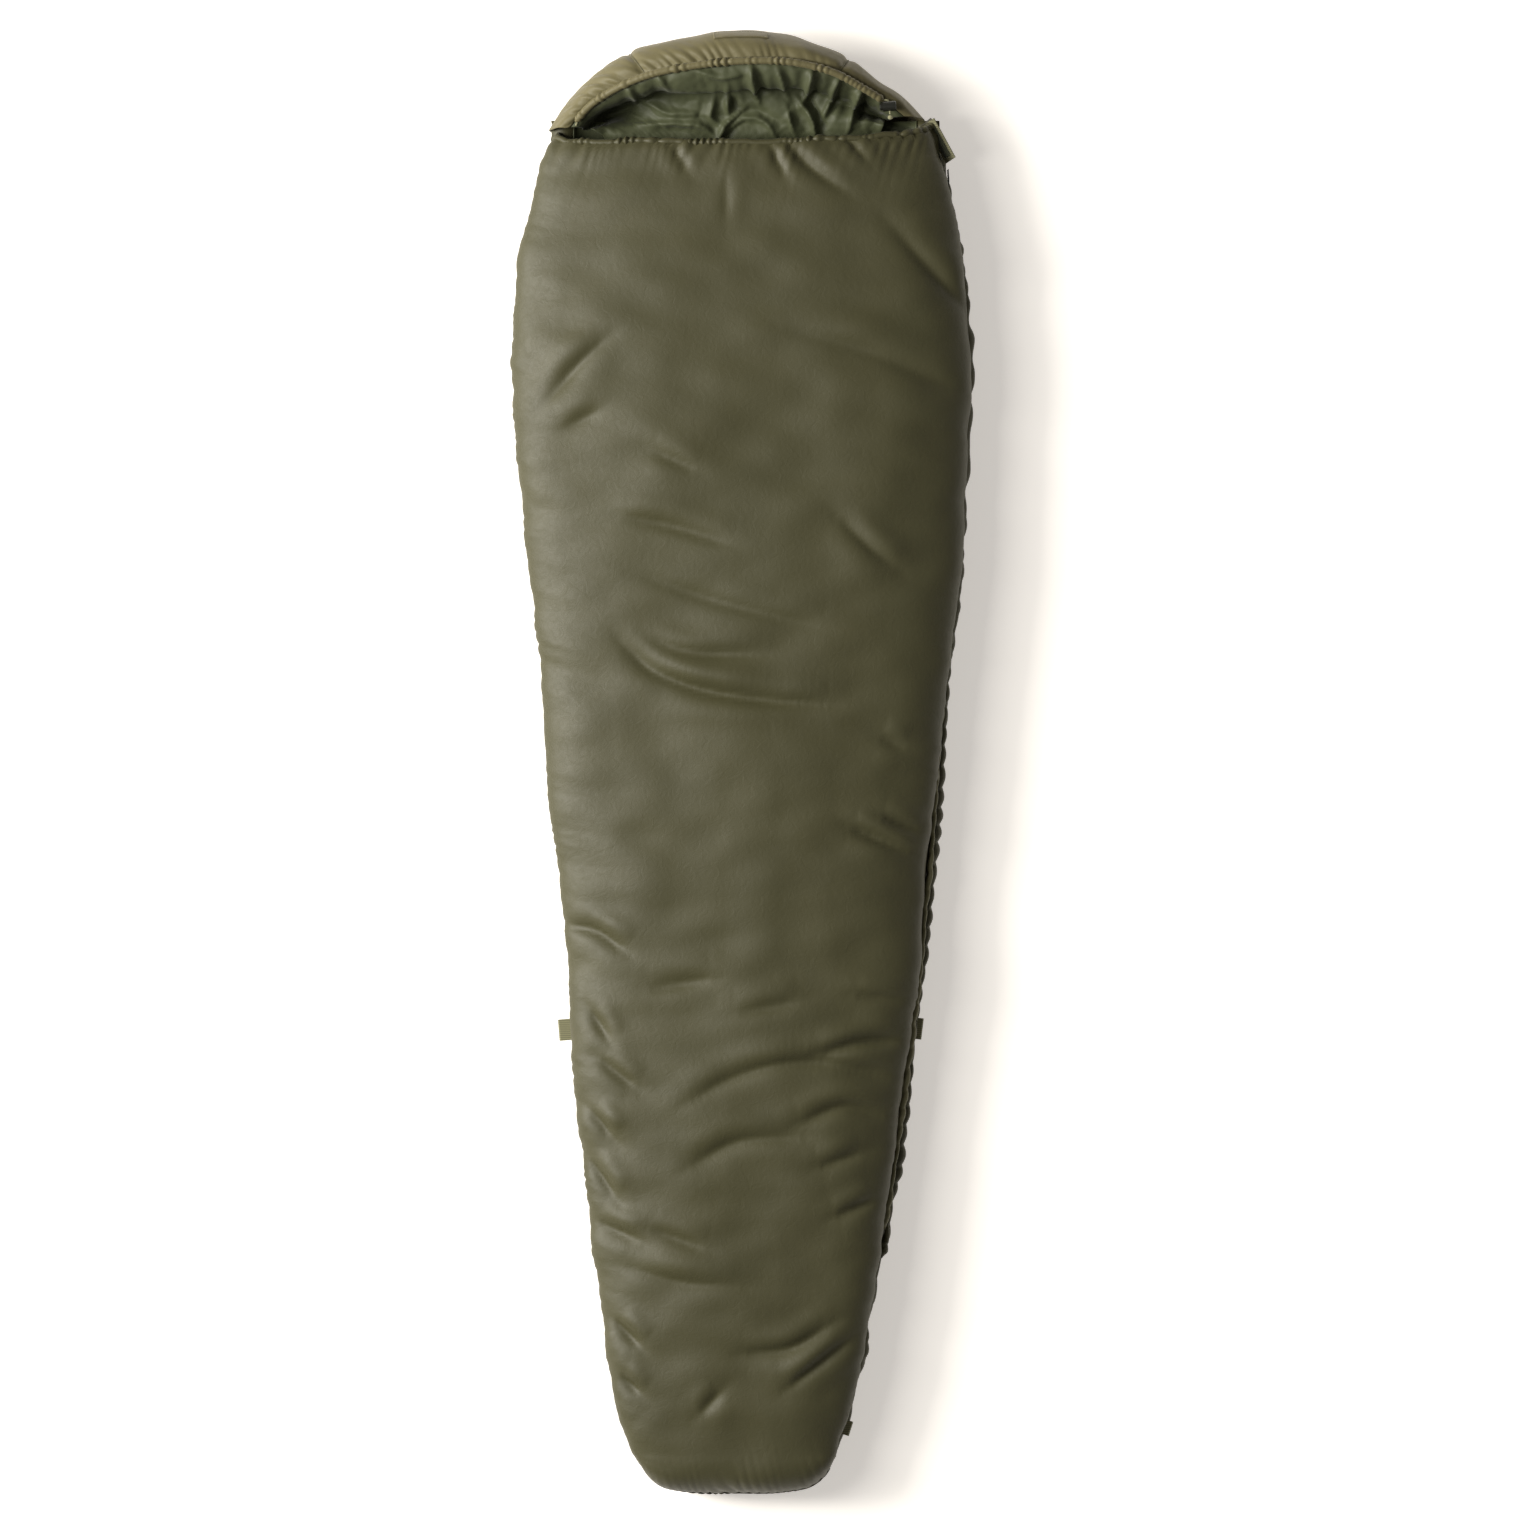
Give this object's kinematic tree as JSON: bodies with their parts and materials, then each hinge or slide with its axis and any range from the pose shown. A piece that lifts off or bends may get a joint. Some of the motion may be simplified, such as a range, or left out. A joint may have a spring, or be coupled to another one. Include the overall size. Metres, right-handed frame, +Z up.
{
  "type": "mummy sleeping bag",
  "caption": "Padded mummy-shaped sleeping bag lying flat, with a drawcord hood, a side zip and tape loops.",
  "frame": {"origin": "on the ground, under the middle of the bag's outline", "axes": "+Y from the foot to the hood, +X to the zip side, +Z up from the ground"},
  "size_m": [0.6954, 2.2, 0.1622],
  "materials": {
    "shell_fabric": "matte woven polyester, olive green",
    "hood_fabric": "matte woven polyester, lighter olive",
    "lining_fabric": "soft woven polyester, grey green",
    "filling": "lofted polyester wadding",
    "webbing": "woven tape, olive",
    "cord": "braided cord, pale olive",
    "zip_tape": "woven zip tape, dark olive",
    "zip_coil": "nylon coil, dark",
    "black_plastic": "moulded acetal, black",
    "hook_and_loop": "hook-and-loop pile, dark olive",
    "steel": "nickel-plated metal"
  },
  "bodies": {
    "bag": {"bottom_shell": "shell_fabric", "bottom_fill_feet": "filling", "bottom_fill_hips": "filling", "bottom_fill_chest": "filling", "bottom_lining": "lining_fabric", "top_shell": "shell_fabric", "top_fill_feet": "filling", "top_fill_hips": "filling", "top_fill_chest": "filling", "top_lining": "lining_fabric", "foot_shell": "shell_fabric", "foot_fill": "filling", "foot_lining": "lining_fabric", "hood_shell_left": "hood_fabric", "hood_shell_centre": "hood_fabric", "hood_shell_right": "hood_fabric", "hood_fill": "filling", "hood_lining": "lining_fabric", "hood_label": "webbing", "hood_cord_channel": "hood_fabric", "hood_drawcord": "cord", "drawcord_knot": "cord", "cord_lock_barrel": "black_plastic", "cord_lock_spring": "steel", "zip_tape_lower": "zip_tape", "zip_tape_upper": "zip_tape", "zip_coil_lower": "zip_coil", "zip_coil_upper": "zip_coil", "zip_stop_top_lower": "steel", "zip_stop_bottom": "steel", "zip_garage": "shell_fabric", "zip_draught_tube": "lining_fabric", "side_loop_left": "webbing", "side_loop_right": "webbing", "foot_loop": "webbing"},
    "corner": {"corner_shell": "shell_fabric", "corner_fill": "filling", "corner_lining": "lining_fabric", "corner_zip_tape": "zip_tape", "corner_zip_coil": "zip_coil", "zip_stop_top_upper": "steel", "corner_loop_pad": "hook_and_loop", "neck_cord_channel": "shell_fabric", "neck_drawcord": "cord"},
    "slider": {"zip_slider": "steel"},
    "pull": {"zip_pull": "steel"},
    "tab": {"closure_tab": "webbing", "closure_hook_pad": "hook_and_loop"},
    "plunger": {"cord_lock_plunger": "black_plastic"}
  },
  "joints": [
    {"name": "corner_fold", "type": "hinge", "parent": "bag", "child": "corner", "pos_m": [-0.205, 0.935, 0.158], "axis": [0.473, -0.881, 0], "range_deg": [0, 150]},
    {"name": "slider_travel", "type": "hinge", "parent": "bag", "child": "slider", "pos_m": [-7.61591, 0.55518, 0.06], "axis": [0, 0, 1], "range_deg": [0, 11.17]},
    {"name": "pull_swing", "type": "hinge", "parent": "slider", "child": "pull", "pos_m": [0.22219, -0.65073, 0.06], "axis": [0, 0, 1], "range_deg": [0, 120]},
    {"name": "tab_fold", "type": "hinge", "parent": "bag", "child": "tab", "pos_m": [0.30436, 0.907, 0.061], "axis": [-0.4792, 0.8777, 0], "range_deg": [-34.5, 0]},
    {"name": "cord_lock_press", "type": "slide", "parent": "bag", "child": "plunger", "axis": [0.9964, 0.0846, 0], "range_m": [0, 0.0031], "stiffness_N_per_m": 400, "springref_m": -0.003, "deforming": ["cord_lock_spring"]}
  ]
}
